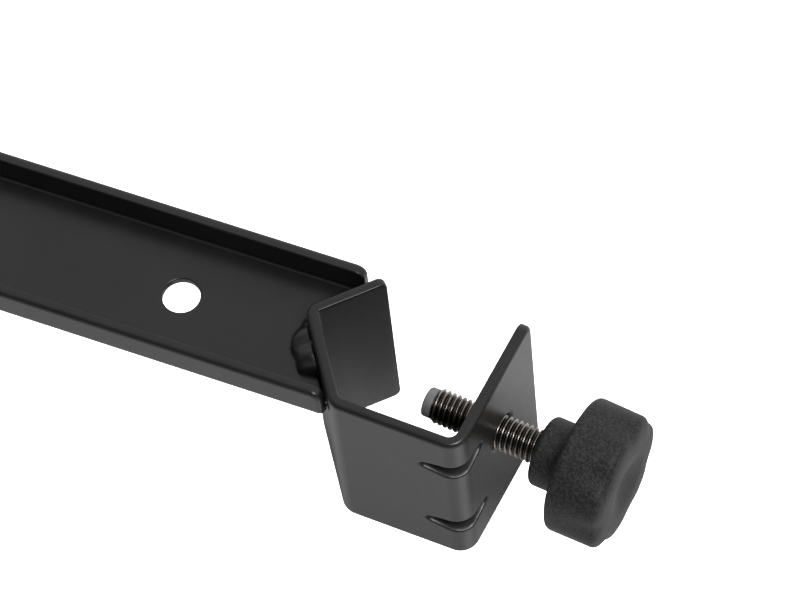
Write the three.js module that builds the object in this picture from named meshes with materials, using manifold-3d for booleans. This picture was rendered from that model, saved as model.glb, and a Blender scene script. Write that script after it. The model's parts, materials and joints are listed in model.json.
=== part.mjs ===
// Headphone hook for a stand tube: a steel channel arm welded to a bent strip clamp. The clamp has
// a V-shaped jaw on one side and a flange on the other, with an M8 clamp screw through the flange.
// Millimetres, +Z up. The origin is on the inner corner line of the V jaw, at the screw's height.
// The arm runs along -X, and the screw's axis is turned by CLAMP_YAW from +X in plan.
import * as THREE from 'three';
import { mergeVertices } from 'three/addons/utils/BufferGeometryUtils.js';
import Module from 'manifold-3d';

const wasm = await Module();
wasm.setup();

// ---- Driving dimensions ----
const GAP = 0.3; // gap kept between neighbouring solids
const CLAMP_YAW = THREE.MathUtils.degToRad(-5.4);

// Clamp bracket, bent from one strip
const STRIP_T = 2.5;
const STRIP_H = 50;
const STRIP_TOP = 22.5; // above the screw's axis
const STRIP_BOTTOM = STRIP_TOP - STRIP_H;
const V_HALF_ANGLE = THREE.MathUtils.degToRad(50);
const V_BACK_LEG = 18.5; // outer length of the leg that ends free
const V_FRONT_LEG = 25.1; // outer length of the leg that joins the web
const FLANGE_X = 43.1; // outer face of the flange
const FLANGE_END_Y = 17.2;
const WEB_RIGHT_Y = -17.5; // where the web's outer face would meet the flange's
const APEX_RADIUS = 1; // inner bend radii
const WEB_LEFT_RADIUS = 2;
const WEB_RIGHT_RADIUS = 2;
const FLANGE_CORNER = 3; // rounded free corners
const LEG_CORNER = 1.8;

// Stiffening darts pressed into the bend between the web and the flange
const DART_Z = [10.3, -15];
const DART_RADIUS = 2.6;
const DART_HALF_LENGTH = 10.5;
const DART_AXIS_DEPTH = 3.6; // from the bend's outer corner

// Channel arm
const ARM_W = 33.6;
const ARM_H = 10;
const ARM_T = 2.5;
const ARM_BEND = 0.5; // inner radius
const ARM_CENTRE_Y = -2.6;
const ARM_TOP = STRIP_TOP;
const ARM_BOTTOM = ARM_TOP - ARM_H;
const ARM_FLOOR = ARM_BOTTOM + ARM_T; // upper face of the floor
const ARM_FRONT_END = 8.5; // ends of the two side flanges beside the clamp
const ARM_BACK_END = 6.2;
const ARM_FAR_END = -128; // where the side flanges stop
const ARM_CORNER = 2.5; // rounded flange ends
const HOLE_X = -31.6;
const HOLE_RADIUS = 4.2;
const LIP_BACK_X = -142; // outer face of the upturned lip
const LIP_TOP = ARM_TOP + 14;
const LIP_W = 27;
const LIP_BEND = 6; // inner radius
const LIP_CORNER = 8;
const LIP_OVERLAP = 8; // how far the lip's strip reaches in over the channel's floor

// M8 clamp screw, nylon tip and knob. Positions are along the screw's axis.
const THREAD_RADIUS = 4;
const THREAD_HOLE = THREAD_RADIUS + GAP;
const SCREW_Y = 0.9; // the screw sits a little behind the V's corner
const TIP_END = FLANGE_X - 18.4;
const TIP_T = 2;
const TIP_RADIUS = 3.4;
const SPIGOT_RADIUS = 1.5;
const SPIGOT_LENGTH = 3;
const HUB_START = FLANGE_X + 9.6;
const HUB_LENGTH = 7.3;
const HUB_RADIUS = 8;
const HUB_EDGE = 1.2;
const GRIP_START = HUB_START + HUB_LENGTH;
const GRIP_PHASE = THREE.MathUtils.degToRad(43.7);
const GRIP_LENGTH = 13.2;
const GRIP_RADIUS = 15.5;
const GRIP_LOBES = 7;
const GRIP_LOBE_RADIUS = 9;
const GRIP_BACK_EDGE = 1.5; // rounding of the rim beside the hub
const GRIP_FRONT_LENGTH = 1.6; // how far along the screw its front rim is rounded
const GRIP_FRONT_DEPTH = 2.6; // and how far inwards
const DISH_RADIUS = 8.4;
const DISH_FLOOR_RADIUS = 6.5;
const DISH_DEPTH = 1.4;
const HEAD_START = HUB_START + 4; // hexagon head moulded into the knob
const HEAD_LENGTH = 5.3;
const HEAD_FLATS = 13;

// ---- Materials ----
const powderCoat = () =>
  new THREE.MeshStandardMaterial({ color: 0x26262a, roughness: 0.45, metalness: 0.3 });
const nickel = () =>
  new THREE.MeshStandardMaterial({ color: 0x8b857c, roughness: 0.3, metalness: 1 });
const nylon = () =>
  new THREE.MeshStandardMaterial({ color: 0x9c9ea0, roughness: 0.6, metalness: 0 });
const mouldedPlastic = () =>
  new THREE.MeshStandardMaterial({ color: 0x2b2c2d, roughness: 0.7, metalness: 0 });

// ---- Solids ----
function solid(geometry) {
  geometry.deleteAttribute('normal');
  geometry.deleteAttribute('uv');
  const merged = mergeVertices(geometry, 1e-4);
  const mesh = new wasm.Mesh({
    numProp: 3,
    vertProperties: new Float32Array(merged.attributes.position.array),
    triVerts: new Uint32Array(merged.index.array),
  });
  return new wasm.Manifold(mesh);
}

function namedMesh(name, manifold, material) {
  const { vertProperties, triVerts } = manifold.getMesh();
  const geometry = new THREE.BufferGeometry();
  geometry.setAttribute('position', new THREE.BufferAttribute(vertProperties, 3));
  geometry.setIndex(new THREE.BufferAttribute(triVerts, 1));
  geometry.computeVertexNormals();
  const mesh = new THREE.Mesh(geometry, material);
  mesh.name = name;
  return mesh;
}

// Extrude a shape from height z0 to z1, with turn as an extra placement.
function prism(shape, z0, z1, turn, curveSegments = 6) {
  const geometry = new THREE.ExtrudeGeometry(shape, {
    depth: z1 - z0, bevelEnabled: false, curveSegments,
  });
  geometry.translate(0, 0, z0);
  if (turn) geometry.applyMatrix4(turn);
  return solid(geometry);
}

// Turns that lay an extrusion's own x, y, z along y, z, x and along x, z, -y.
const alongX = new THREE.Matrix4().makeBasis(
  new THREE.Vector3(0, 1, 0), new THREE.Vector3(0, 0, 1), new THREE.Vector3(1, 0, 0));
const alongY = new THREE.Matrix4().makeBasis(
  new THREE.Vector3(1, 0, 0), new THREE.Vector3(0, 0, 1), new THREE.Vector3(0, -1, 0));

// A solid of revolution about the X axis, from a profile of [x, radius] points.
function turned(profile, segments = 40) {
  const points = profile.map(([x, r]) => new THREE.Vector2(r, x));
  const geometry = new THREE.LatheGeometry(points, segments);
  geometry.rotateZ(-Math.PI / 2);
  return solid(geometry);
}

function polygon(points) {
  return new THREE.Shape(points.map(([x, y]) => new THREE.Vector2(x, y)));
}

// A plain cylinder on the X axis, for bores and hexagons.
function roundBar(x0, x1, radius, segments) {
  return turned([[x0, 0], [x0, radius], [x1, radius], [x1, 0]], segments);
}

// What is left over outside a rounded corner at (0, 0) whose material lies towards -x and -y.
function cornerOffcut(radius) {
  const shape = new THREE.Shape();
  shape.moveTo(1, -radius);
  shape.lineTo(1, 1);
  shape.lineTo(-radius, 1);
  shape.lineTo(-radius, 0);
  shape.absarc(-radius, -radius, radius, Math.PI / 2, 0, true);
  return shape;
}

// ---- Clamp bracket ----
// side is 1 on the V's back leg and -1 on its front one.
const legDirection = (side) => (
  new THREE.Vector2(Math.cos(V_HALF_ANGLE), side * Math.sin(V_HALF_ANGLE)));
const apex = new THREE.Vector2(-STRIP_T / Math.sin(V_HALF_ANGLE), 0);
const backLegEnd = apex.clone().addScaledVector(legDirection(1), V_BACK_LEG);
const webLeft = apex.clone().addScaledVector(legDirection(-1), V_FRONT_LEG);
const webRight = new THREE.Vector2(FLANGE_X, WEB_RIGHT_Y);
const flangeEnd = new THREE.Vector2(FLANGE_X, FLANGE_END_Y);

const leftNormal = (a, b) => {
  const d = b.clone().sub(a).normalize();
  return new THREE.Vector2(-d.y, d.x);
};

// Centre of the bend at corner b between a and c, for a strip that turns left.
function bendCentre(a, b, c, distance) {
  const n1 = leftNormal(a, b);
  const n2 = leftNormal(b, c);
  const reach = distance / (1 + n1.dot(n2));
  return b.clone().addScaledVector(n1.clone().add(n2), reach);
}

// Plan of a strip whose outer face follows the points and whose material lies to their left.
function bentStrip(points, thickness, radii) {
  const shape = new THREE.Shape();
  const bends = radii.map((radius, i) => {
    const [a, b, c] = points.slice(i, i + 3);
    const centre = bendCentre(a, b, c, thickness + radius);
    const start = leftNormal(a, b).negate().angle();
    const end = leftNormal(b, c).negate().angle();
    return { centre, radius, start, end };
  });
  const last = points.length - 1;
  const startInner = points[0].clone().addScaledVector(leftNormal(points[0], points[1]), thickness);
  shape.moveTo(startInner.x, startInner.y);
  shape.lineTo(points[0].x, points[0].y);
  for (const { centre, radius, start, end } of bends) {
    shape.absarc(centre.x, centre.y, radius + thickness, start, end, false);
  }
  shape.lineTo(points[last].x, points[last].y);
  const endNormal = leftNormal(points[last - 1], points[last]);
  const inner = points[last].clone().addScaledVector(endNormal, thickness);
  shape.lineTo(inner.x, inner.y);
  for (const { centre, radius, start, end } of bends.toReversed()) {
    shape.absarc(centre.x, centre.y, radius, end, start, true);
  }
  shape.closePath();
  return shape;
}

// A spindle that lies across the bend at the web's right end, pointed at both ends.
function dartSpindle(z, radius) {
  const steps = 10;
  const profile = [];
  for (let i = 0; i <= steps; i += 1) {
    const s = -1 + (2 * i) / steps;
    profile.push([s * DART_HALF_LENGTH, radius * (1 - s * s)]);
  }
  profile[0][1] = 0;
  profile[steps][1] = 0;
  const inward = leftNormal(webLeft, webRight).add(leftNormal(webRight, flangeEnd)).normalize();
  const across = new THREE.Vector3(-inward.y, inward.x, 0);
  const centre = webRight.clone().addScaledVector(inward, DART_AXIS_DEPTH);
  const place = new THREE.Matrix4().makeBasis(
    across, new THREE.Vector3(-inward.x, -inward.y, 0), new THREE.Vector3(0, 0, 1));
  place.setPosition(centre.x, centre.y, z);
  return turned(profile, 24).transform(place.elements);
}

// Everything inside the bend, from a little under its outer face.
function insideBend() {
  const reach = 14;
  const inset = STRIP_T * 0.15;
  const radius = STRIP_T + WEB_RIGHT_RADIUS;
  const centre = bendCentre(webLeft, webRight, flangeEnd, radius);
  const webStart = webLeft.clone().sub(webRight).normalize().multiplyScalar(reach).add(webRight);
  const start = leftNormal(webLeft, webRight).negate().angle();
  const shape = new THREE.Shape();
  shape.moveTo(webStart.x, webRight.y + reach);
  shape.lineTo(webStart.x, webStart.y);
  shape.absarc(centre.x, centre.y, radius, start, 2 * Math.PI, false);
  shape.lineTo(webRight.x, webRight.y + reach);
  return prism(shape, STRIP_BOTTOM + inset, STRIP_TOP - inset).translate([-inset, inset, 0]);
}

function clampBracket() {
  const plan = bentStrip(
    [backLegEnd, apex, webLeft, webRight, flangeEnd], STRIP_T,
    [APEX_RADIUS, WEB_LEFT_RADIUS, WEB_RIGHT_RADIUS]);
  let bracket = prism(plan, STRIP_BOTTOM, STRIP_TOP, null, 8);

  const inside = insideBend();
  for (const z of DART_Z) {
    bracket = bracket.add(dartSpindle(z, DART_RADIUS + STRIP_T * 0.8).intersect(inside));
  }
  for (const z of DART_Z) {
    bracket = bracket.subtract(dartSpindle(z, DART_RADIUS));
  }

  const pastStrip = 2 * STRIP_T;
  const flangeCut = prism(cornerOffcut(FLANGE_CORNER), FLANGE_X - pastStrip, FLANGE_X + 1, alongX);
  const legCut = prism(cornerOffcut(LEG_CORNER), -pastStrip, pastStrip, alongX);
  const atLegEnd = new THREE.Matrix4().makeRotationZ(V_HALF_ANGLE - Math.PI / 2);
  atLegEnd.setPosition(backLegEnd.x, backLegEnd.y, 0);
  const bottomUp = [0, 0, 1];
  bracket = bracket
    .subtract(flangeCut.translate([0, FLANGE_END_Y, STRIP_TOP]))
    .subtract(flangeCut.mirror(bottomUp).translate([0, FLANGE_END_Y, STRIP_BOTTOM]))
    .subtract(legCut.translate([0, 0, STRIP_TOP]).transform(atLegEnd.elements))
    .subtract(legCut.mirror(bottomUp).translate([0, 0, STRIP_BOTTOM]).transform(atLegEnd.elements));

  const bore = roundBar(FLANGE_X - pastStrip, FLANGE_X + 1, THREAD_HOLE, 32);
  bracket = bracket.subtract(bore.translate([0, SCREW_Y, 0]));
  return namedMesh('clamp_bracket', bracket, powderCoat());
}

// ---- Channel arm ----
// U section in y and z, open at the top, with rounded bends.
function channelSection() {
  const half = ARM_W / 2;
  const outer = ARM_BEND + ARM_T;
  const bendLevel = ARM_BOTTOM + outer;
  const shape = new THREE.Shape();
  shape.moveTo(-half + ARM_T, ARM_TOP);
  shape.lineTo(-half, ARM_TOP);
  shape.absarc(-half + outer, bendLevel, outer, Math.PI, Math.PI * 1.5, false);
  shape.absarc(half - outer, bendLevel, outer, Math.PI * 1.5, Math.PI * 2, false);
  shape.lineTo(half, ARM_TOP);
  shape.lineTo(half - ARM_T, ARM_TOP);
  shape.absarc(half - outer, bendLevel, ARM_BEND, 0, -Math.PI / 2, true);
  shape.absarc(-half + outer, bendLevel, ARM_BEND, -Math.PI / 2, -Math.PI, true);
  shape.closePath();
  return shape;
}

// The floor goes on past the side flanges and turns up into a lip. Its section is in x and z, and
// its rounded upper corners are cut afterwards.
function upturnedLip() {
  const section = bentStrip([
    new THREE.Vector2(LIP_BACK_X, LIP_TOP),
    new THREE.Vector2(LIP_BACK_X, ARM_BOTTOM),
    new THREE.Vector2(ARM_FAR_END + LIP_OVERLAP, ARM_BOTTOM),
  ], ARM_T, [LIP_BEND]);
  const lip = prism(section, -LIP_W / 2, LIP_W / 2, alongY);
  const corner = prism(cornerOffcut(LIP_CORNER), LIP_BACK_X - 1, LIP_BACK_X + 2 * ARM_T, alongX)
    .translate([0, LIP_W / 2, LIP_TOP]);
  return lip.subtract(corner).subtract(corner.mirror([0, 1, 0]));
}

// What the clamp's V takes out of the floor, with room for the welds' gap.
function jawNotch() {
  const reach = 40;
  const tip = apex.clone().sub(new THREE.Vector2(1.5 * GAP / Math.sin(V_HALF_ANGLE), 0));
  const back = tip.clone().addScaledVector(legDirection(1), reach);
  const front = tip.clone().addScaledVector(legDirection(-1), reach);
  const plan = polygon([[tip.x, tip.y], [front.x, front.y], [back.x, back.y]]);
  return prism(plan, 0, ARM_TOP + 1, new THREE.Matrix4().makeRotationZ(CLAMP_YAW));
}

function armChannel() {
  const offcut = cornerOffcut(ARM_CORNER);
  const frontEnd = prism(offcut, 0, ARM_W, alongY).translate([ARM_FRONT_END, 0, ARM_TOP]);
  const backEnd = prism(offcut, -ARM_W, 0, alongY).translate([ARM_BACK_END, 0, ARM_TOP]);
  const farEnds = prism(offcut, -ARM_W, ARM_W, alongY).mirror([1, 0, 0])
    .translate([ARM_FAR_END, 0, ARM_TOP]);
  const backTrim = prism(polygon([[ARM_BACK_END, 0], [ARM_FRONT_END + 1, 0],
    [ARM_FRONT_END + 1, ARM_W], [ARM_BACK_END, ARM_W]]), ARM_FLOOR + 1, ARM_TOP + 1);
  const hole = solid(new THREE.CylinderGeometry(HOLE_RADIUS, HOLE_RADIUS, 4 * ARM_T, 48)
    .rotateX(Math.PI / 2).translate(HOLE_X, 0, ARM_FLOOR));
  const arm = prism(channelSection(), ARM_FAR_END, ARM_FRONT_END, alongX)
    .add(upturnedLip())
    .subtract(backTrim)
    .subtract(frontEnd)
    .subtract(backEnd)
    .subtract(farEnds)
    .subtract(hole)
    .translate([0, ARM_CENTRE_Y, 0])
    .subtract(jawNotch());
  return namedMesh('arm_channel', arm, powderCoat());
}

// ---- Weld beads ----
// A bead along one leg of the V, with its section in the corner between the leg and the floor.
// side is 1 on the back leg and -1 on the front one, up is 1 above the floor and -1 below it.
function weldBead(name, side, up, from, to, width, height) {
  const section = polygon([[0, 0], [-width, 0], [-width * 0.8, height * 0.45],
    [-width * 0.35, height * 0.85], [0, height]]);
  const level = up > 0 ? ARM_FLOOR + GAP : ARM_BOTTOM - GAP;
  const inward = new THREE.Vector3(Math.sin(V_HALF_ANGLE), -side * Math.cos(V_HALF_ANGLE), 0);
  const upward = new THREE.Vector3(0, 0, up);
  const along = new THREE.Vector3().crossVectors(inward, upward);
  const place = new THREE.Matrix4().makeBasis(inward, upward, along);
  place.setPosition(new THREE.Vector3(apex.x, apex.y, level).addScaledVector(inward, -GAP));
  const geometry = new THREE.ExtrudeGeometry(section, { depth: to - from, bevelEnabled: false });
  geometry.translate(0, 0, along.x > 0 ? from : -to);
  const bead = solid(geometry.applyMatrix4(place));
  return namedMesh(name, bead, powderCoat());
}

// ---- Clamp screw ----
function clampScrew() {
  const start = TIP_END + TIP_T + GAP;
  const chamfer = 0.8;
  const boreDepth = SPIGOT_LENGTH + GAP;
  const stud = turned([
    [start + boreDepth, 0],
    [start + boreDepth, SPIGOT_RADIUS + GAP],
    [start, SPIGOT_RADIUS + GAP],
    [start, THREAD_RADIUS - chamfer],
    [start + chamfer, THREAD_RADIUS],
    [HEAD_START + 1, THREAD_RADIUS],
    [HEAD_START + 1, 0],
  ]);
  const corner = HEAD_FLATS / 2 / Math.cos(Math.PI / 6);
  const head = roundBar(HEAD_START, HEAD_START + HEAD_LENGTH, corner, 6);
  return namedMesh('clamp_screw', stud.add(head), nickel());
}

function screwTip() {
  const edge = 0.7;
  const face = TIP_END + TIP_T;
  const tip = turned([
    [TIP_END, 0],
    [TIP_END, TIP_RADIUS - edge * 1.5],
    [TIP_END + edge * 0.3, TIP_RADIUS - edge * 0.6],
    [TIP_END + edge, TIP_RADIUS],
    [face, TIP_RADIUS],
    [face, SPIGOT_RADIUS],
    [face + SPIGOT_LENGTH, SPIGOT_RADIUS],
    [face + SPIGOT_LENGTH, 0],
  ], 32);
  return namedMesh('screw_tip', tip, nylon());
}

// Outline of the grip: round lobes on a circle, each an arc of its own smaller circle.
function lobedOutline(inset, stepsPerLobe = 8) {
  const centre = GRIP_RADIUS - GRIP_LOBE_RADIUS;
  const lobeRadius = GRIP_LOBE_RADIUS - inset;
  const points = [];
  const pitch = (2 * Math.PI) / GRIP_LOBES;
  for (let lobe = 0; lobe < GRIP_LOBES; lobe += 1) {
    for (let i = 0; i < stepsPerLobe; i += 1) {
      const off = (i / stepsPerLobe - 0.5) * pitch;
      const r = centre * Math.cos(off)
        + Math.sqrt(lobeRadius ** 2 - (centre * Math.sin(off)) ** 2);
      const angle = lobe * pitch + off;
      points.push(new THREE.Vector2(r * Math.cos(angle), r * Math.sin(angle)));
    }
  }
  return new THREE.Shape(points);
}

// A length of the grip with both of its rims rounded, over a length along it and a depth inwards.
function lobedBar(start, end, edgeLength, edgeDepth) {
  const bar = new THREE.ExtrudeGeometry(lobedOutline(edgeDepth), {
    depth: end - start - 2 * edgeLength,
    bevelEnabled: true, bevelThickness: edgeLength, bevelSize: edgeDepth, bevelSegments: 5,
  });
  bar.rotateZ(GRIP_PHASE);
  bar.translate(0, 0, start + edgeLength);
  return solid(bar.applyMatrix4(alongX));
}

function gripKnob() {
  const front = GRIP_START + GRIP_LENGTH;
  const hubEnd = GRIP_START + 2; // inside the grip
  const backBar = lobedBar(GRIP_START, front - GRIP_FRONT_LENGTH, GRIP_BACK_EDGE, GRIP_BACK_EDGE);
  const frontBar = lobedBar(GRIP_START + GRIP_BACK_EDGE, front, GRIP_FRONT_LENGTH, GRIP_FRONT_DEPTH);
  const hub = turned([
    [HUB_START, 0],
    [HUB_START, HUB_RADIUS - HUB_EDGE],
    [HUB_START + HUB_EDGE * 0.3, HUB_RADIUS - HUB_EDGE * 0.3],
    [HUB_START + HUB_EDGE, HUB_RADIUS],
    [hubEnd, HUB_RADIUS],
    [hubEnd, 0],
  ]);
  const dish = turned([
    [front - DISH_DEPTH, 0],
    [front - DISH_DEPTH, DISH_FLOOR_RADIUS],
    [front, DISH_RADIUS],
    [front + 1, DISH_RADIUS],
    [front + 1, 0],
  ]);
  const pocketCorner = (HEAD_FLATS / 2 + GAP) / Math.cos(Math.PI / 6);
  const pocket = roundBar(HEAD_START - GAP, HEAD_START + HEAD_LENGTH + GAP, pocketCorner, 6);
  const bore = roundBar(HUB_START - 1, HEAD_START, THREAD_HOLE, 32);
  const knob = backBar
    .add(frontBar)
    .add(hub)
    .subtract(dish)
    .subtract(pocket)
    .subtract(bore);
  return namedMesh('grip_knob', knob, mouldedPlastic());
}

// ---- Assembly ----
const screw = new THREE.Group();
screw.position.y = SCREW_Y;
screw.add(clampScrew(), screwTip(), gripKnob());

const clamp = new THREE.Group();
clamp.rotation.z = CLAMP_YAW;
clamp.add(
  clampBracket(),
  weldBead('weld_bead_front', -1, 1, 1.5, 12, 4.5, 3),
  weldBead('weld_bead_back', 1, 1, 1.5, 10, 3.2, 2.8),
  weldBead('weld_bead_under', -1, -1, 3, 18, 3, 3),
  screw,
);

const hook = new THREE.Group();
hook.add(armChannel(), clamp);

export default hook;
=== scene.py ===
"""Looks of the headphone hook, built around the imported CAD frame. Lengths are in mm until placed."""
import json
import math

import bmesh
import bpy
import numpy as np
from mathutils import Matrix, Vector, noise
from mathutils.geometry import delaunay_2d_cdt


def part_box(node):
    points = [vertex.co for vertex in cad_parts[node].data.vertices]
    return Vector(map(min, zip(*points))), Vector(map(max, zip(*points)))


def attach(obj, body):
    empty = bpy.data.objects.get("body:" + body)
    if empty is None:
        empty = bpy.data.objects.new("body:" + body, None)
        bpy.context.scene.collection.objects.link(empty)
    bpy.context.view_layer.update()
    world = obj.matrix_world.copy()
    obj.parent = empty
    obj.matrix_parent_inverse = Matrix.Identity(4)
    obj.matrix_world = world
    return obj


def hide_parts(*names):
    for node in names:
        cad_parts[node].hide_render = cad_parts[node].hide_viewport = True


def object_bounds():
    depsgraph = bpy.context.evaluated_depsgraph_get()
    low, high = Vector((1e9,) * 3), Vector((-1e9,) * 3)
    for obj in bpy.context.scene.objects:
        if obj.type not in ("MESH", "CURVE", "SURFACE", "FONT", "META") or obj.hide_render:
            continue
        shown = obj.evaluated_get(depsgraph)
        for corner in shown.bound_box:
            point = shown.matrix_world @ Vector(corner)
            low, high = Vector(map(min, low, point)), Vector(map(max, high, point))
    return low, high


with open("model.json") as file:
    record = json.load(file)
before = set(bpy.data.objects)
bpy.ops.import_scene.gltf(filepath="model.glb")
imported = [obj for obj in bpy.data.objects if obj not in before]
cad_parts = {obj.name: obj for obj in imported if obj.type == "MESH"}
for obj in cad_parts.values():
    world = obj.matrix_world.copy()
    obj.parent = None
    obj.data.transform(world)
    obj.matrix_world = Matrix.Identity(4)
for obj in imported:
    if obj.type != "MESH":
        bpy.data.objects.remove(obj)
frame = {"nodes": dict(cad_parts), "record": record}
cad_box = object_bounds()

MM = 0.001

# ---- Places from the frame ----
MOUNTS = {m["name"]: m for m in frame["record"]["mounts"]}
JAW_AXIS = np.array(MOUNTS["tube_seat"]["axis"])
JAW_SIDE = np.array([-JAW_AXIS[1], JAW_AXIS[0], 0.0])
UP = np.array([0.0, 0.0, 1.0])
SCREW_Y = float(np.dot(MOUNTS["screw_tip_face"]["pos_m"], JAW_SIDE)) / MM
TIP_END = float(np.dot(MOUNTS["screw_tip_face"]["pos_m"], JAW_AXIS)) / MM


def node_box(node):
    low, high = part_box(node)
    return np.array(low) / MM, np.array(high) / MM


def along_jaw(node):
    """Lowest and highest place of a CAD node along the screw's axis."""
    mesh = frame["nodes"][node].data
    places = np.array([v.co for v in mesh.vertices]) @ JAW_AXIS / MM
    return float(places.min()), float(places.max())


BRACKET_LOW, BRACKET_HIGH = node_box("clamp_bracket")
ARM_LOW, ARM_HIGH = node_box("arm_channel")

# ---- Driving dimensions, in mm ----
STRIP_T = 2.5
STRIP_BOTTOM, STRIP_TOP = BRACKET_LOW[2], BRACKET_HIGH[2]
V_HALF_ANGLE = math.radians(50)
V_BACK_LEG, V_FRONT_LEG = 18.5, 25.1
FLANGE_X = along_jaw("clamp_bracket")[1]
FLANGE_END_Y, WEB_RIGHT_Y = 17.2, -17.5
BEND_RADII = [1.0, 2.0, 2.0]
FLANGE_CORNER, LEG_CORNER = 3.0, 1.8
ROLLOVER = 1.1  # rounding that stamping leaves on a sheet's outer edges
SHARP = 0.35  # rounding of its inner edges
SCREW_HOLE = 4.15
RIM_BAND = 0.25  # flat band kept beside a sheet's rounded rim

DART_Z = [10.3, -15.0]
DART_DEEPEST = 8.2  # inward from the bend's outer corner
DART_RISE = 1.2  # less than that at its two ends
DART_HALF_LENGTH = 6.8
DART_HALF_HEIGHT = 2.4
DART_SHIFT = 0.3  # towards the flange
DART_LIP = 0.8  # softness of its lips
BEND_SETBACK = 1.86  # from the bend's outer corner in to its rounded face
DART_REACH_ALONG, DART_REACH_UP = 7.0, 3.9  # how far round a dart the mesh is made fine
DART_STEP_ALONG, DART_STEP_UP = 0.32, 0.17
DART_THINNING = 0.15  # how much less a dart pushes the sheet's inner face

ARM_T = 2.5
ARM_BEND = 0.5
ARM_W = 33.6
ARM_CENTRE_Y = (ARM_LOW[1] + ARM_HIGH[1]) / 2
ARM_TOP = STRIP_TOP
ARM_BOTTOM = ARM_LOW[2]
ARM_FRONT_END, ARM_BACK_END = ARM_HIGH[0], ARM_HIGH[0] - 2.3
ARM_FAR_END = -128.0
ARM_CORNER = 2.5
HOLE_X, HOLE_RADIUS = -31.6, 4.2
LIP_BACK_X, LIP_TOP = ARM_LOW[0], ARM_HIGH[2]
LIP_HALF_W = 12.9
LIP_BEND = 6.0
LIP_CORNER = 8.0
ARM_RELIEF = 1.2  # round cut where a side flange ends beside the lip
NOTCH_GAP, NOTCH_TIP_X, NOTCH_TIP_Y = 0.35, 0.25, 0.3  # round the V's corner
NOTCH_SHOULDER = 1.2

THREAD_CREST = 4.0
THREAD_DEPTH = 0.68
THREAD_PITCH = 1.25
SCREW_BEHIND_TIP, SCREW_INTO_HUB = 2.1, 2.0
TIP_RADIUS, TIP_EDGE = 3.4, 0.55
HUB_START = along_jaw("grip_knob")[0]
HUB_LENGTH, HUB_RADIUS, HUB_EDGE = 7.3, 8.0, 1.3
BORE_GAP = 0.15
GRIP_START, GRIP_END = HUB_START + HUB_LENGTH, along_jaw("grip_knob")[1]
GRIP_RADIUS, GRIP_LOBES = 15.45, 7
GRIP_PHASE = math.radians(43.7)
GRIP_BACK_EDGE = 1.5
GRIP_FRONT_LENGTH, GRIP_FRONT_DEPTH = 2.6, 7.0  # how far its front is domed, along and inwards
GRIP_FRONT_SQUARENESS = 2 / 3  # 1 would make that dome an ellipse
FLUTE_BACK, FLUTE_FRONT = 0.2, 1.5  # depth of the valleys between the lobes, at the two rims
DISH_RADIUS, DISH_DEPTH = 8.3, 1.5


# ---- Mesh helpers ----
def to_jaw(points):
    """Points given along the screw's axis, across it and up become points of the frame, in mm."""
    points = np.asarray(points, float)
    return points[:, :1] * JAW_AXIS + points[:, 1:2] * JAW_SIDE + points[:, 2:3] * UP


def piece(name, points, faces, material, body, replaced):
    """A finished object from points in mm, which rides on its body and stands for its CAD node."""
    mesh = bpy.data.meshes.new(name)
    mesh.from_pydata([tuple(p) for p in np.asarray(points) * MM], [], faces)
    mesh.validate()
    obj = bpy.data.objects.new(name, mesh)
    bpy.context.scene.collection.objects.link(obj)
    tidy_mesh(mesh)
    mesh.polygons.foreach_set("use_smooth", [True] * len(mesh.polygons))
    mesh.materials.append(material)
    weigh = obj.modifiers.new("even_shading", "WEIGHTED_NORMAL")
    weigh.mode = "FACE_AREA"
    weigh.weight = 50
    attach(obj, body)
    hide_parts(replaced)
    return obj


def tidy_mesh(mesh):
    same_place, sliver = 2e-6, 1e-6
    bm = bmesh.new()
    bm.from_mesh(mesh)
    bmesh.ops.remove_doubles(bm, verts=bm.verts, dist=same_place)
    bmesh.ops.dissolve_degenerate(bm, edges=bm.edges, dist=sliver)
    bmesh.ops.recalc_face_normals(bm, faces=bm.faces)
    bm.to_mesh(mesh)
    bm.free()


def smooth_max(a, b, softness):
    """The larger of two numbers, blended where they differ by less than the softness."""
    closeness = np.maximum(softness - np.abs(a - b), 0.0)
    return np.maximum(a, b) + closeness ** 2 / (4 * softness)


# ---- Bent sheets ----
class BentPath:
    """A strip's outer face seen edge on: straight runs and left-hand bends, measured along its arc."""

    def __init__(self, points, thickness, radii):
        points = [np.array(p, float) for p in points]
        directions = [(b - a) / np.linalg.norm(b - a) for a, b in zip(points, points[1:])]
        self.runs = []
        self.bends = []
        u, start = 0.0, points[0]
        for i, radius in enumerate(radii):
            d0, d1 = directions[i], directions[i + 1]
            turn = math.atan2(d0[0] * d1[1] - d0[1] * d1[0], float(d0 @ d1))
            outer = radius + thickness
            setback = outer * math.tan(turn / 2)
            end = points[i + 1] - d0 * setback
            length = float(np.linalg.norm(end - start))
            self.runs.append((u, u + length, start, d0, 0.0))
            u += length
            self.runs.append((u, u + outer * turn, end, d0, outer))
            self.bends.append((u, u + outer * turn))
            u += outer * turn
            start = points[i + 1] + d1 * setback
        length = float(np.linalg.norm(points[-1] - start))
        self.runs.append((u, u + length, start, directions[-1], 0.0))
        self.length = u + length

    def at(self, u):
        """Places on the outer face, and the normals that point into the material."""
        place, normal = np.zeros((len(u), 2)), np.zeros((len(u), 2))
        last = len(self.runs) - 1
        for i, (low, high, start, d, radius) in enumerate(self.runs):
            here = ((u >= low) | (i == 0)) & ((u < high) | (i == last))
            s = u[here] - low
            left = np.array([-d[1], d[0]])
            if radius:
                a = s / radius
                n = np.outer(np.cos(a), left) - np.outer(np.sin(a), d)
                place[here] = start + left * radius - n * radius
                normal[here] = n
            else:
                place[here] = start + np.outer(s, d)
                normal[here] = left
        return place, normal


def arc(centre, radius, start, end, steps):
    """Points of an arc, from one angle to another, in degrees."""
    angles = np.radians(np.linspace(start, end, steps + 1))
    return [(centre[0] + radius * math.cos(a), centre[1] + radius * math.sin(a)) for a in angles]


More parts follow.
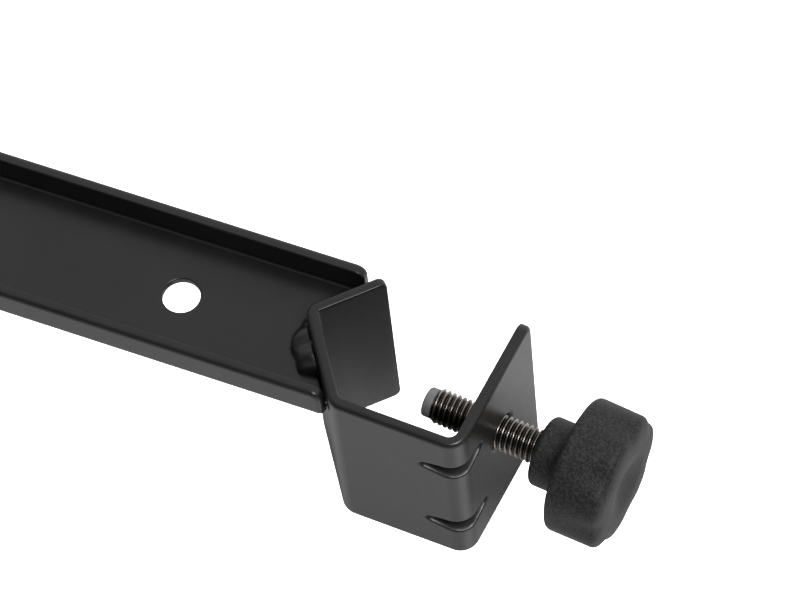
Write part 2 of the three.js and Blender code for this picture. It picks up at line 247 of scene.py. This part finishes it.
def inset(loop, distance):
    """A closed outline moved inwards. Material lies to its left."""
    loop = np.array(loop, float)
    return loop + miters(loop) * distance


def miters(loop):
    """At each corner of a closed outline, the move that takes both its sides 1 mm to the left."""
    before = loop - np.roll(loop, 1, axis=0)
    after = np.roll(loop, -1, axis=0) - loop
    n0, n1 = left_normals(before), left_normals(after)
    return (n0 + n1) / (1 + np.sum(n0 * n1, axis=1, keepdims=True))


def left_normals(vectors):
    unit = vectors / np.linalg.norm(vectors, axis=1, keepdims=True)
    return np.stack([-unit[:, 1], unit[:, 0]], axis=1)


def inside_loop(points, loop):
    """Which points a closed outline holds, by counting crossings."""
    held = np.zeros(len(points), bool)
    for (x0, y0), (x1, y1) in zip(loop, np.roll(loop, -1, axis=0)):
        crosses = (y0 > points[:, 1]) != (y1 > points[:, 1])
        at_x = x0 + (points[:, 1] - y0) * (x1 - x0) / ((y1 - y0) or 1e-12)
        held ^= crosses & (points[:, 0] < at_x)
    return held


def flat_cells(loops, u_cuts, v_cuts):
    """Cells of a flat sheet within its outline and outside its holes, cut along both sets of lines."""
    loops = [np.array(loop, float) for loop in loops]
    low, high = loops[0].min(0) - 1, loops[0].max(0) + 1
    points, edges = [], []
    for loop in loops:
        first = len(points)
        points += [Vector(p) for p in loop]
        edges += [(first + i, first + (i + 1) % len(loop)) for i in range(len(loop))]
    for u in u_cuts:
        edges.append((len(points), len(points) + 1))
        points += [Vector((u, low[1])), Vector((u, high[1]))]
    for v in v_cuts:
        edges.append((len(points), len(points) + 1))
        points += [Vector((low[0], v)), Vector((high[0], v))]
    verts, _, faces, *_ = delaunay_2d_cdt(points, edges, [], 4, 5e-3, False)
    verts = np.array([tuple(v) for v in verts])
    middles = np.array([verts[list(f)].mean(0) for f in faces])
    kept = inside_loop(middles, loops[0])
    for hole in loops[1:]:
        kept &= ~inside_loop(middles, hole)
    faces = [list(f) for f, keep in zip(faces, kept) if keep]
    used = sorted({i for f in faces for i in f})
    renumber = {old: new for new, old in enumerate(used)}
    return verts[used], [[renumber[i] for i in f] for f in faces]


def rim_loops(verts, faces):
    """The closed outlines round a set of cells, each with its material to the left."""
    half_edges = {}
    for f in faces:
        ring = f if area(verts[f]) > 0 else f[::-1]
        for a, b in zip(ring, ring[1:] + ring[:1]):
            half_edges[a, b] = True
    follow = {a: b for a, b in half_edges if (b, a) not in half_edges}
    loops = []
    while follow:
        start = next(iter(follow))
        loop, at = [], start
        while at in follow:
            loop.append(at)
            at = follow.pop(at)
        loops.append(loop)
    return loops


def area(ring):
    x, y = ring[:, 0], ring[:, 1]
    return float(np.sum(x * np.roll(y, -1) - np.roll(x, -1) * y)) / 2


def sheet(outline, holes, u_cuts, v_cuts, thickness, place):
    """Points and faces of a sheet with rounded edges. place(u, v, depth) lays it in space."""
    margin = ROLLOVER + RIM_BAND
    loops = [inset(outline, margin)] + [inset(hole, margin) for hole in holes]
    flat, cells = flat_cells(loops, u_cuts, v_cuts)
    count = len(flat)
    u, v = list(flat[:, 0]) * 2, list(flat[:, 1]) * 2
    depth = [0.0] * count + [thickness] * count
    faces = [list(c) for c in cells] + [[i + count for i in reversed(c)] for c in cells]
    profile = [(ROLLOVER, 0.0)]
    profile += [(ROLLOVER * (1 - math.sin(a)), ROLLOVER * (1 - math.cos(a)))
                for a in np.radians(np.linspace(15, 90, 6))]
    profile += [(SHARP * (1 - math.cos(a)), thickness - SHARP * (1 - math.sin(a)))
                for a in np.radians(np.linspace(0, 90, 4))]
    for loop in rim_loops(flat, cells):
        moves = miters(flat[loop])
        rows = [list(loop)]
        for inward, deep in profile:
            first = len(u)
            edge = flat[loop] - moves * (margin - inward)
            u += list(edge[:, 0])
            v += list(edge[:, 1])
            depth += [deep] * len(loop)
            rows.append(list(range(first, first + len(loop))))
        rows.append([i + count for i in loop])
        size = len(loop)
        for upper, lower in zip(rows, rows[1:]):
            faces += [[upper[i], lower[i], lower[(i + 1) % size], upper[(i + 1) % size]]
                      for i in range(size)]
    return place(np.array(u), np.array(v), np.array(depth)), faces


def steps(low, high, size):
    """Evenly spaced values from low to high, about a step apart."""
    return list(np.linspace(low, high, max(2, round((high - low) / size) + 1)))


# ---- Clamp bracket ----
def leg_direction(side):
    return np.array([math.cos(V_HALF_ANGLE), side * math.sin(V_HALF_ANGLE)])


APEX = np.array([-STRIP_T / math.sin(V_HALF_ANGLE), 0.0])
BACK_LEG_END = APEX + leg_direction(1) * V_BACK_LEG
WEB_LEFT = APEX + leg_direction(-1) * V_FRONT_LEG
WEB_RIGHT = np.array([FLANGE_X, WEB_RIGHT_Y])
FLANGE_END = np.array([FLANGE_X, FLANGE_END_Y])


def dart_push(place, z):
    """How far the darts push the sheet inwards at points of its outer face, and which way."""
    web = (WEB_RIGHT - WEB_LEFT) / np.linalg.norm(WEB_RIGHT - WEB_LEFT)
    inward = np.array([-web[1], web[0]]) + np.array([-1.0, 0.0])
    inward /= np.linalg.norm(inward)
    across = np.array([-inward[1], inward[0]])
    along, deep = (place - WEB_RIGHT) @ across, (place - WEB_RIGHT) @ inward
    floor = DART_DEEPEST - DART_RISE * ((along - DART_SHIFT) / DART_HALF_LENGTH) ** 4
    steepness = (DART_DEEPEST - BEND_SETBACK) / DART_HALF_HEIGHT ** 2
    pushed = deep.copy()
    for dart_z in DART_Z:
        pushed = smooth_max(pushed, floor - steepness * (z - dart_z) ** 2, DART_LIP)
    return pushed - deep, inward


def clamp_bracket(material):
    path = BentPath([BACK_LEG_END, APEX, WEB_LEFT, WEB_RIGHT, FLANGE_END], STRIP_T, BEND_RADII)
    length = path.length
    low, high, flange_r, leg_r = STRIP_BOTTOM, STRIP_TOP, FLANGE_CORNER, LEG_CORNER
    outline = (arc((leg_r, low + leg_r), leg_r, 180, 270, 8)
               + arc((length - flange_r, low + flange_r), flange_r, 270, 360, 10)
               + arc((length - flange_r, high - flange_r), flange_r, 0, 90, 10)
               + arc((leg_r, high - leg_r), leg_r, 90, 180, 8))
    hole_u = length - (FLANGE_END_Y - SCREW_Y)
    hole = arc((hole_u, 0.0), SCREW_HOLE, 360, 0, 48)[:-1]
    bend_step = 0.45
    u_cuts = []
    for start, end in path.bends[:2]:
        u_cuts += steps(start, end, bend_step)
    dart_start, dart_end = path.bends[2][0] - DART_REACH_ALONG, path.bends[2][1] + DART_REACH_ALONG
    u_cuts += steps(dart_start, dart_end, DART_STEP_ALONG)
    v_cuts = []
    for z in DART_Z:
        v_cuts += steps(z - DART_REACH_UP, z + DART_REACH_UP, DART_STEP_UP)

    def lay(u, v, depth):
        place, normal = path.at(u)
        push, inward = dart_push(place, v)
        push *= 1 - DART_THINNING * depth / STRIP_T
        plan = place + normal * depth[:, None] + push[:, None] * inward
        return to_jaw(np.column_stack([plan, v]))

    points, faces = sheet(outline, [hole], u_cuts, v_cuts, STRIP_T, lay)
    return piece("bracket_strip", points, faces, material, "hook_frame", "clamp_bracket")


# ---- Channel arm ----
def arm_channel(material):
    half, outer = ARM_W / 2, ARM_BEND + ARM_T
    path = BentPath([(half, ARM_TOP), (half, ARM_BOTTOM), (-half, ARM_BOTTOM), (-half, ARM_TOP)][::-1],
                    ARM_T, [ARM_BEND, ARM_BEND])
    centre_v = path.length / 2
    top, flat_half = centre_v, half - outer
    bend_u = LIP_BACK_X + ARM_T + LIP_BEND
    lip_outer = LIP_BEND + ARM_T
    lip_end = bend_u - lip_outer * math.pi / 2 - (LIP_TOP - ARM_BOTTOM - lip_outer)
    notch_tip = to_jaw([[APEX[0] - NOTCH_GAP / math.sin(V_HALF_ANGLE), 0, 0]])[0]
    yaw = math.atan2(JAW_AXIS[1], JAW_AXIS[0])

    def notch_x(v, side):
        angle = side * V_HALF_ANGLE + yaw
        return notch_tip[0] + (v + ARM_CENTRE_Y - notch_tip[1]) / math.tan(angle)

    r, relief = ARM_CORNER, ARM_RELIEF
    outline = (
        arc((ARM_FAR_END + r, -top + r), r, 180, 270, 8)
        + arc((ARM_FRONT_END - r, -top + r), r, 270, 360, 8)
        + [(ARM_FRONT_END, -flat_half - NOTCH_SHOULDER), (notch_x(-flat_half, -1), -flat_half)]
        + [(notch_tip[0] + NOTCH_TIP_X, notch_tip[1] - ARM_CENTRE_Y - NOTCH_TIP_Y),
           (notch_tip[0] + NOTCH_TIP_X, notch_tip[1] - ARM_CENTRE_Y + NOTCH_TIP_Y)]
        + [(ARM_BACK_END, min(flat_half, (ARM_BACK_END - notch_tip[0]) * math.tan(V_HALF_ANGLE + yaw)
                              + notch_tip[1] - ARM_CENTRE_Y))]
        + arc((ARM_BACK_END - r, top - r), r, 0, 90, 8)
        + arc((ARM_FAR_END + r, top - r), r, 90, 180, 8)
        + arc((ARM_FAR_END - relief, LIP_HALF_W + relief), relief, 360, 270, 6)
        + arc((lip_end + LIP_CORNER, LIP_HALF_W - LIP_CORNER), LIP_CORNER, 90, 180, 14)
        + arc((lip_end + LIP_CORNER, -LIP_HALF_W + LIP_CORNER), LIP_CORNER, 180, 270, 14)
        + arc((ARM_FAR_END - relief, -LIP_HALF_W - relief), relief, 90, 0, 6)
    )
    hole = arc((HOLE_X, 0.0), HOLE_RADIUS, 360, 0, 64)[:-1]
    lip_step, bend_step = 0.6, 0.42
    lip_bend_start = bend_u - lip_outer * math.pi / 2
    u_cuts = steps(lip_end + 0.5 * (lip_bend_start - lip_end), bend_u, lip_step)
    v_cuts = []
    for start, end in path.bends:
        v_cuts += steps(start - centre_v, end - centre_v, bend_step)

    def lay(u, v, depth):
        # Measured across from the floor's middle, with y rising with v.
        plan, normal = path.at(centre_v + v)
        section = plan + normal * depth[:, None]
        y, z = section[:, 0], section[:, 1]
        past = np.maximum(bend_u - u, 0.0)
        turn = np.minimum(past / lip_outer, math.pi / 2)
        straight = np.maximum(past - lip_outer * math.pi / 2, 0.0)
        arm = lip_outer - (z - ARM_BOTTOM)
        bent_x = bend_u - arm * np.sin(turn)
        bent_z = ARM_BOTTOM + lip_outer - arm * np.cos(turn) + straight
        x = np.where(u < bend_u, bent_x, u)
        z = np.where(u < bend_u, bent_z, z)
        return np.column_stack([x, y + ARM_CENTRE_Y, z])

    points, faces = sheet(outline, [hole], u_cuts, v_cuts, ARM_T, lay)
    return piece("arm_sheet", points, faces, material, "hook_frame", "arm_channel")


# ---- Weld beads ----
def weld_bead(name, node, material, side, up, widths, height, seed):
    """A lumpy fillet along one leg of the V. widths gives (place along the leg, width) pairs."""
    along = leg_direction(side)
    outward = np.array([-math.sin(V_HALF_ANGLE), side * math.cos(V_HALF_ANGLE)])
    level = ARM_BOTTOM + ARM_T if up > 0 else ARM_BOTTOM
    rows, around = 90, 20
    first_angle, sweep = -6, 102  # of its rounded face, in degrees, from the floor up to the leg
    sunk = -0.3  # its back corner, inside the sheets
    relief = 0.26  # of its lumps
    places = np.linspace(widths[0][0], widths[-1][0], rows)
    sizes = np.interp(places, *zip(*widths))
    points, faces = [], []
    for i, (t, width) in enumerate(zip(places, sizes)):
        end = max(0.0, 1 - (2 * i / (rows - 1) - 1) ** 8) ** 0.5
        for j in range(around):
            if j < around - 1:
                a = math.radians(first_angle + sweep * j / (around - 2))
                spot = Vector((t * 0.3, a * 0.8, seed))
                lump = 1 + relief * noise.noise(spot)
                out = width * max(math.cos(a), 0.0) * lump
                rise = height * math.sin(a) * lump * min(1.0, 0.45 + width / 8)
            else:
                out, rise = sunk, sunk
            out, rise = out * end, rise * end
            plan = APEX + along * t + outward * out
            points.append([plan[0], plan[1], level + up * rise])
    for i in range(rows - 1):
        for j in range(around):
            k = (j + 1) % around
            a, b = i * around, (i + 1) * around
            faces.append([a + j, a + k, b + k, b + j])
    faces.append(list(range(around)))
    faces.append(list(range((rows - 1) * around, rows * around)))
    return piece(name, to_jaw(points), faces, material, "hook_frame", node)


# ---- Clamp screw, tip and knob, all turned about the screw's axis ----
def round_the_axis(rows, segments, radius_at):
    """Rings of points about the screw's axis. radius_at(row, angle) gives (place along, radius)."""
    points, faces = [], []
    for row in rows:
        for i in range(segments):
            angle = 2 * math.pi * i / segments
            x, r = radius_at(row, angle)
            points.append([x, SCREW_Y + r * math.cos(angle), r * math.sin(angle)])
    for j in range(len(rows) - 1):
        for i in range(segments):
            k = (i + 1) % segments
            a, b = j * segments, (j + 1) * segments
            faces.append([a + i, a + k, b + k, b + i])
    faces.append(list(range(segments)))
    faces.append(list(range((len(rows) - 1) * segments, len(rows) * segments)))
    return to_jaw(points), faces


def thread_radius(share):
    """Radius of the thread at a share of the pitch, with a flat crest and rounded flanks."""
    crest_share, flank_share, roundness = 0.16, 0.66, 0.35
    off_crest = abs(2 * share - 1)
    fall = min(max((off_crest - crest_share) / flank_share, 0.0), 1.0)
    rounded = fall * fall * (3 - 2 * fall)
    return THREAD_CREST - THREAD_DEPTH * ((1 - roundness) * fall + roundness * rounded)


def clamp_screw(material):
    start, end = TIP_END + SCREW_BEHIND_TIP, HUB_START + SCREW_INTO_HUB
    segments, per_pitch, chamfer = 72, 16, 0.8
    step = THREAD_PITCH / per_pitch
    count = math.ceil((end - start + 2 * THREAD_PITCH) / step) + 1
    points = []
    for i in range(segments):
        angle = 2 * math.pi * i / segments
        for m in range(count):
            x = start + (m - per_pitch) * step + THREAD_PITCH * i / segments
            x = min(max(x, start), end)
            limit = THREAD_CREST - chamfer + min(x - start, end - x)
            r = min(thread_radius(m / per_pitch % 1), limit)
            points.append([x, SCREW_Y + r * math.cos(angle), r * math.sin(angle)])
    faces = []
    for i in range(segments):
        a, b = i * count, (i + 1) * count
        shift = 0
        if i == segments - 1:
            b, shift = 0, per_pitch
        for m in range(count - 1 - shift):
            faces.append([a + m, a + m + 1, b + m + 1 + shift, b + m + shift])
    faces.append([i * count for i in range(segments)])
    faces.append([i * count + count - 1 for i in range(segments)])
    return piece("threaded_stud", to_jaw(points), faces, material, "screw", "clamp_screw")


def screw_tip(material):
    bore, flat, back, back_edge = 0.4, 2.3, 2.2, 0.1
    rows = [(TIP_END, bore), (TIP_END, flat)]
    rows += [(TIP_END + TIP_EDGE * (1 - math.cos(a)), TIP_RADIUS - TIP_EDGE * (1 - math.sin(a)))
             for a in np.radians(np.linspace(5, 90, 8))]
    rows += [(TIP_END + 1.2, TIP_RADIUS), (TIP_END + 2.0, TIP_RADIUS),
             (TIP_END + back, TIP_RADIUS - back_edge), (TIP_END + back, bore)]
    points, faces = round_the_axis(rows, 64, lambda row, angle: row)
    return piece("thrust_tip", points, faces, material, "tip", "screw_tip")


def valley(angle):
    """How near an angle is to the middle of a valley of the grip: 0 on a crest, 1 in a valley."""
    return (0.5 - 0.5 * math.cos(GRIP_LOBES * (angle - GRIP_PHASE))) ** 1.6


def grip_knob(material):
    """Rows are (place along, radius, inset): with an inset the row follows the lobes, that far inside."""
    back, front = GRIP_START, GRIP_END
    quarter = np.radians(np.linspace(0, 90, 10))
    inner, segments = THREAD_CREST + BORE_GAP, 288
    fillet = 0.5
    rows = [(HUB_START + 3, 1.0, None), (HUB_START + 3, inner, None),
            (HUB_START + 0.3, inner, None), (HUB_START, inner + 0.35, None),
            (HUB_START, HUB_RADIUS - HUB_EDGE - 0.3, None)]
    rows += [(HUB_START + HUB_EDGE * (1 - math.cos(a)), HUB_RADIUS - HUB_EDGE * (1 - math.sin(a)), None)
             for a in quarter]
    rows += [(back - fillet * (1 - math.sin(a)), HUB_RADIUS + fillet * (1 - math.cos(a)), None)
             for a in quarter]
    rows += [(back, None, GRIP_BACK_EDGE + 2.0)]
    rows += [(back + GRIP_BACK_EDGE * (1 - math.cos(a)), None, GRIP_BACK_EDGE * (1 - math.sin(a)))
             for a in quarter]
    front_rim = GRIP_RADIUS - GRIP_FRONT_DEPTH
    side_start, side_end = back + GRIP_BACK_EDGE + 0.5, front - GRIP_FRONT_LENGTH - 0.4
    rows += [(x, None, 0.0) for x in np.linspace(side_start, side_end, 8)]
    rows += [(front - GRIP_FRONT_LENGTH * (1 - math.sin(a) ** GRIP_FRONT_SQUARENESS), None,
              GRIP_FRONT_DEPTH * (1 - math.cos(a) ** GRIP_FRONT_SQUARENESS))
             for a in np.radians(np.linspace(0, 90, 26))]
    rows += [(front - DISH_DEPTH * math.cos(math.pi / 2 * r / DISH_RADIUS) ** 1.5, r, None)
             for r in np.linspace(DISH_RADIUS, 0.8, 16)]

    def radius_at(row, angle):
        x, r, inset_by = row
        share = (x - back) / (front - back)
        flute = FLUTE_BACK + (FLUTE_FRONT - FLUTE_BACK) * min(max(share, 0.0), 1.0) ** 2
        lobed = GRIP_RADIUS - flute * valley(angle)
        if r is not None:
            return x, r
        if x > side_end:
            inset_by *= (lobed - front_rim) / GRIP_FRONT_DEPTH
        return x, lobed - inset_by

    points, faces = round_the_axis(rows, segments, radius_at)
    return piece("lobed_knob", points, faces, material, "screw", "grip_knob")


# ---- Materials ----
class Nodes:
    """A material's node tree, with short calls that add and join nodes."""

    def __init__(self, name):
        self.material = bpy.data.materials.new(name)
        self.material.use_nodes = True
        self.tree = self.material.node_tree
        self.shader = self.tree.nodes["Principled BSDF"]
        self.place = self.tree.nodes.new("ShaderNodeTexCoord").outputs["Object"]

    def add(self, kind, inputs=(), **settings):
        node = self.tree.nodes.new(kind)
        for key, value in settings.items():
            setattr(node, key, value)
        for key, value in dict(inputs).items():
            if isinstance(value, bpy.types.NodeSocket):
                self.tree.links.new(value, node.inputs[key])
            else:
                node.inputs[key].default_value = value
        return node

    def noise(self, size, detail=2.0, rough=0.5):
        """Noise whose features are about size mm across."""
        inputs = {"Vector": self.place, "Scale": 1 / (size * MM), "Detail": detail, "Roughness": rough}
        return self.add("ShaderNodeTexNoise", inputs).outputs["Fac"]

    def ramp(self, value, low, high, stops=(0.3, 0.7)):
        """The value turned into a colour between two others."""
        node = self.add("ShaderNodeValToRGB", {"Fac": value})
        for stop, place, colour in zip(node.color_ramp.elements, stops, (low, high)):
            stop.position = place
            stop.color = (*colour, 1.0)
        return node.outputs["Color"]

    def span(self, value, low, high):
        """The value turned from 0..1 into another range."""
        inputs = {"Value": value, "To Min": low, "To Max": high}
        return self.add("ShaderNodeMapRange", inputs).outputs["Result"]

    def bump(self, height, distance, strength=1.0, under=None):
        inputs = {"Height": height, "Distance": distance * MM, "Strength": strength}
        if under:
            inputs["Normal"] = under
        return self.add("ShaderNodeBump", inputs).outputs["Normal"]

    def into(self, socket, value):
        if isinstance(value, bpy.types.NodeSocket):
            self.tree.links.new(value, self.shader.inputs[socket])
        else:
            self.shader.inputs[socket].default_value = value


def grey(value, warmth=0.0):
    return (value * (1 + warmth), value, value * (1 - warmth))


def powder_coat():
    """Satin black powder coat: a faint orange peel and slight changes of gloss."""
    n = Nodes("satin_black_powder_coat")
    n.into("Base Color", n.ramp(n.noise(14.0, 3.0), grey(0.008), grey(0.012)))
    n.into("Roughness", n.span(n.noise(3.0, 3.0), 0.27, 0.34))
    peel = n.bump(n.noise(1.1, 2.0), 0.012, 0.5)
    n.into("Normal", n.bump(n.noise(0.25, 1.0), 0.004, 0.4, peel))
    return n.material


def nickel():
    """Dark nickel plating with a brownish tint and random smudges; its colour is painted lighter on the
    thread's crests as a painted highlight and darker in its roots as painted shade.
    """
    n = Nodes("dark_nickel_with_painted_crest_light")
    axis = (Matrix.Rotation(-math.atan2(JAW_AXIS[1], JAW_AXIS[0]), 3, "Z")).to_euler()
    turned = n.add("ShaderNodeMapping", {"Vector": n.place, "Rotation": axis}, vector_type="POINT")
    split = n.add("ShaderNodeSeparateXYZ", {"Vector": turned.outputs["Vector"]})
    y = n.add("ShaderNodeMath", {0: split.outputs["Y"], 1: SCREW_Y * MM}, operation="SUBTRACT")
    flat = n.add("ShaderNodeCombineXYZ", {"Y": y.outputs[0], "Z": split.outputs["Z"]})
    radius = n.add("ShaderNodeVectorMath", {0: flat.outputs[0]}, operation="LENGTH").outputs["Value"]
    # Painted highlight and shade: the radius from the screw's axis, from root to crest, makes the base
    # colour lighter on the crests and darker in the roots, times random smudges.
    root, crest = (THREAD_CREST - THREAD_DEPTH) * MM, THREAD_CREST * MM
    inputs = {"Value": radius, "From Min": root, "From Max": crest}
    height = n.add("ShaderNodeMapRange", inputs).outputs["Result"]
    smudge = n.noise(1.6, 4.0, 0.6)
    crest_light_root_shade = n.add("ShaderNodeMath", {0: height, 1: smudge}, operation="MULTIPLY").outputs[0]
    n.into("Base Color", n.ramp(crest_light_root_shade, grey(0.06, 0.12), grey(0.42, 0.09), (0.12, 0.6)))
    n.into("Metallic", 1.0)
    n.into("Roughness", n.span(smudge, 0.16, 0.34))
    n.into("Normal", n.bump(n.noise(0.3, 2.0), 0.006, 0.35))
    return n.material


def nylon():
    """Grey nylon, faintly mottled."""
    n = Nodes("grey_nylon")
    n.into("Base Color", n.ramp(n.noise(1.2, 3.0), grey(0.17), grey(0.22)))
    n.into("Roughness", n.span(n.noise(0.6, 2.0), 0.42, 0.55))
    n.into("Normal", n.bump(n.noise(0.35, 2.0), 0.01, 0.4))
    return n.material


def knob_plastic():
    """Black plastic with a fine spark-eroded grain that catches the light in specks."""
    n = Nodes("grained_black_plastic")
    grain = n.noise(0.6, 3.0, 0.75)
    n.into("Base Color", n.ramp(grain, grey(0.007), grey(0.042), (0.42, 0.66)))
    n.into("Roughness", n.span(n.noise(0.6, 2.0), 0.42, 0.62))
    n.into("Specular IOR Level", 0.33)
    n.into("Normal", n.bump(grain, 0.14, 0.95))
    return n.material


# ---- Studio ----
FLOOR_DROP, CARD_DROP = 0.3, 0.0005
SKY_LOW, SKY_HIGH, SKY_BRIGHT_SIDE = 0.15, 0.95, (0.0, 0.95, 0.3)
SKY_DARK_FROM = -0.3  # how far from the bright side the sky is at its darkest
KEY_PLACE, KEY_AIM, KEY_SIZE, KEY_POWER = (0.62, -0.3, 1.2), (0.03, 0, 0), 0.5, 10.5


def camera():
    """The view of the object from above its knob's side, as a long lens sees it."""
    azimuth, elevation, roll = (math.radians(a) for a in (28.0, 60.2, -7.2))
    aim = Vector((9.78, 20.02, 0.0)) * MM
    distance = 1041.6 * MM
    back = Vector((math.sin(azimuth) * math.cos(elevation), -math.cos(azimuth) * math.cos(elevation),
                   math.sin(elevation)))
    right = Vector((math.cos(azimuth), math.sin(azimuth), 0.0))
    turn = Matrix((right, back.cross(right), back)).transposed().to_4x4()
    data = bpy.data.cameras.new("camera")
    data.sensor_width, data.lens = 36.0, 212.4
    obj = bpy.data.objects.new("camera", data)
    obj.matrix_world = (Matrix.Translation(aim + back * distance) @ turn
                        @ Matrix.Rotation(roll, 4, "Z"))
    bpy.context.scene.collection.objects.link(obj)
    bpy.context.scene.camera = obj


def stage_plane(name, size, z, material):
    mesh = bpy.data.meshes.new(name)
    mesh.from_pydata([(-size, -size, z), (size, -size, z), (size, size, z), (-size, size, z)], [],
                     [(0, 1, 2, 3)])
    mesh.materials.append(material)
    obj = bpy.data.objects.new(name, mesh)
    bpy.context.scene.collection.objects.link(obj)
    return obj


def floor():
    """A plain white floor, well under the object because its tube holds it up."""
    n = Nodes("white_floor")
    n.into("Base Color", n.ramp(n.noise(900.0), grey(0.86), grey(0.88)))
    n.into("Roughness", 0.9)
    n.into("Specular IOR Level", 0.1)
    n.into("Emission Color", (1.0, 1.0, 1.0, 1.0))
    n.into("Emission Strength", 0.9)
    stage_plane("studio_floor", 6.0, cad_box[0][2] - FLOOR_DROP, n.material)


def card():
    """A glossy white card close under the object, there only for the object's sides to reflect."""
    n = Nodes("white_card")
    n.into("Base Color", n.ramp(n.noise(900.0), grey(0.9), grey(0.92)))
    n.into("Roughness", 0.24)
    n.into("Specular IOR Level", 0.6)
    obj = stage_plane("reflector_card", 0.9, cad_box[0][2] - CARD_DROP, n.material)
    obj.visible_camera = False
    obj.visible_shadow = False


def softbox(name, place, aim, width, height, power):
    data = bpy.data.lights.new(name, "AREA")
    data.shape, data.size, data.size_y, data.energy = "RECTANGLE", width, height, power
    obj = bpy.data.objects.new(name, data)
    obj.location = place
    obj.rotation_euler = (Vector(aim) - Vector(place)).to_track_quat("-Z", "Y").to_euler()
    bpy.context.scene.collection.objects.link(obj)


def studio():
    """A sky that is brightest behind the object, and one softbox on the knob's side."""
    world = bpy.data.worlds.new("studio")
    world.use_nodes = True
    tree = world.node_tree
    place = tree.nodes.new("ShaderNodeTexCoord").outputs["Generated"]
    toward = tree.nodes.new("ShaderNodeVectorMath")
    toward.operation = "DOT_PRODUCT"
    toward.inputs[1].default_value = SKY_BRIGHT_SIDE
    rise = tree.nodes.new("ShaderNodeMapRange")
    rise.inputs["From Min"].default_value = SKY_DARK_FROM
    rise.inputs["To Min"].default_value = SKY_LOW
    rise.inputs["To Max"].default_value = SKY_HIGH
    tree.links.new(place, toward.inputs[0])
    tree.links.new(toward.outputs["Value"], rise.inputs["Value"])
    tree.links.new(rise.outputs["Result"], tree.nodes["Background"].inputs["Strength"])
    tree.nodes["Background"].inputs["Color"].default_value = (1, 1, 1, 1)
    bpy.context.scene.world = world
    bpy.context.scene.view_settings.view_transform = "Standard"
    softbox("key", KEY_PLACE, KEY_AIM, KEY_SIZE, KEY_SIZE, KEY_POWER)


# ---- Assembly ----
camera()
coat, plate, tip_nylon, plastic = powder_coat(), nickel(), nylon(), knob_plastic()
clamp_bracket(coat)
arm_channel(coat)
weld_bead("front_weld", "weld_bead_front", coat, -1, 1,
          [(-1.0, 0.6), (1.5, 2.4), (6.0, 5.0), (8.5, 4.8), (12.2, 3.8), (13.9, 1.6)], 3.7, 1.7)
weld_bead("back_weld", "weld_bead_back", coat, 1, 1,
          [(0.8, 1.4), (3.0, 2.8), (7.0, 3.0), (10.4, 1.2)], 2.6, 5.2)
weld_bead("under_weld", "weld_bead_under", coat, -1, -1,
          [(2.4, 1.2), (5.0, 2.9), (14.0, 3.0), (18.6, 1.0)], 2.8, 9.4)
clamp_screw(plate)
screw_tip(tip_nylon)
grip_knob(plastic)
floor()
card()
studio()
